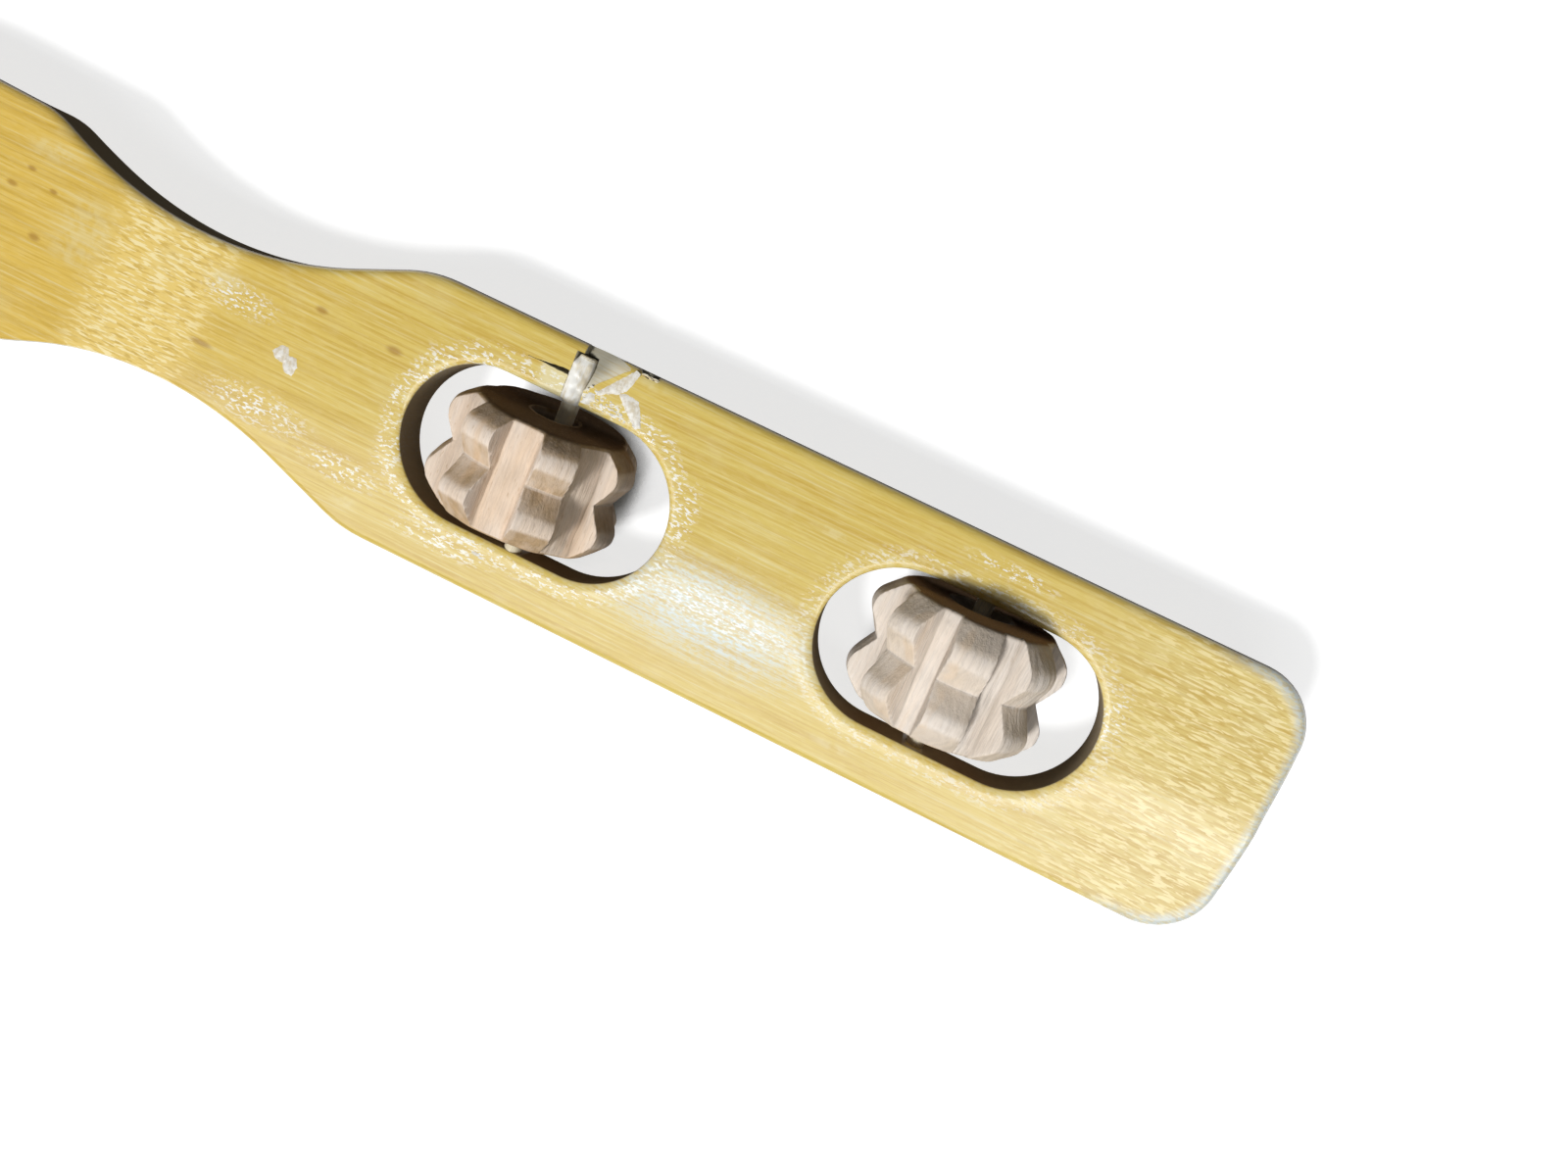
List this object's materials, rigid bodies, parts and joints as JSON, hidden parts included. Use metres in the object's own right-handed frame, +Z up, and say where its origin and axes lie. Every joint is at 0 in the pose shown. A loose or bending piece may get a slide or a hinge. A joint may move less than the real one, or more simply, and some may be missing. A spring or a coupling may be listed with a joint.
{
  "type": "back scratcher",
  "caption": "Flat bamboo strip with a waisted grip, a bent finger claw at one end and knobbed wooden massage rollers turning on pins in long slots at the other.",
  "frame": {"origin": "middle of the object's box, on the table it lies on", "axes": "+X along the strip towards the roller end, +Y across the strip, +Z up from the table"},
  "size_m": [0.4549, 0.045, 0.032],
  "materials": {
    "bamboo": "satin lacquer",
    "brown_roller_wood": "bare, fibrous",
    "pale_roller_wood": "bare, fibrous",
    "pin_wood": "bare",
    "glue": "glossy, hardened"
  },
  "bodies": {
    "strip": {"bamboo_strip": "bamboo", "grip_side_axle": "pin_wood", "end_side_axle": "pin_wood", "axle_glue": "glue"},
    "grip_roller": {"grip_side_roller": "brown_roller_wood"},
    "end_roller": {"end_side_roller": "pale_roller_wood"}
  },
  "joints": [
    {"name": "grip_roller_spin", "type": "hinge", "parent": "strip", "child": "grip_roller", "pos_m": [0.10258, 0.0006, 0.016], "axis": [0, 1, 0], "continuous": true},
    {"name": "end_roller_spin", "type": "hinge", "parent": "strip", "child": "end_roller", "pos_m": [0.17618, 0.0016, 0.016], "axis": [-0.0419, 0.9991, 0], "continuous": true}
  ]
}
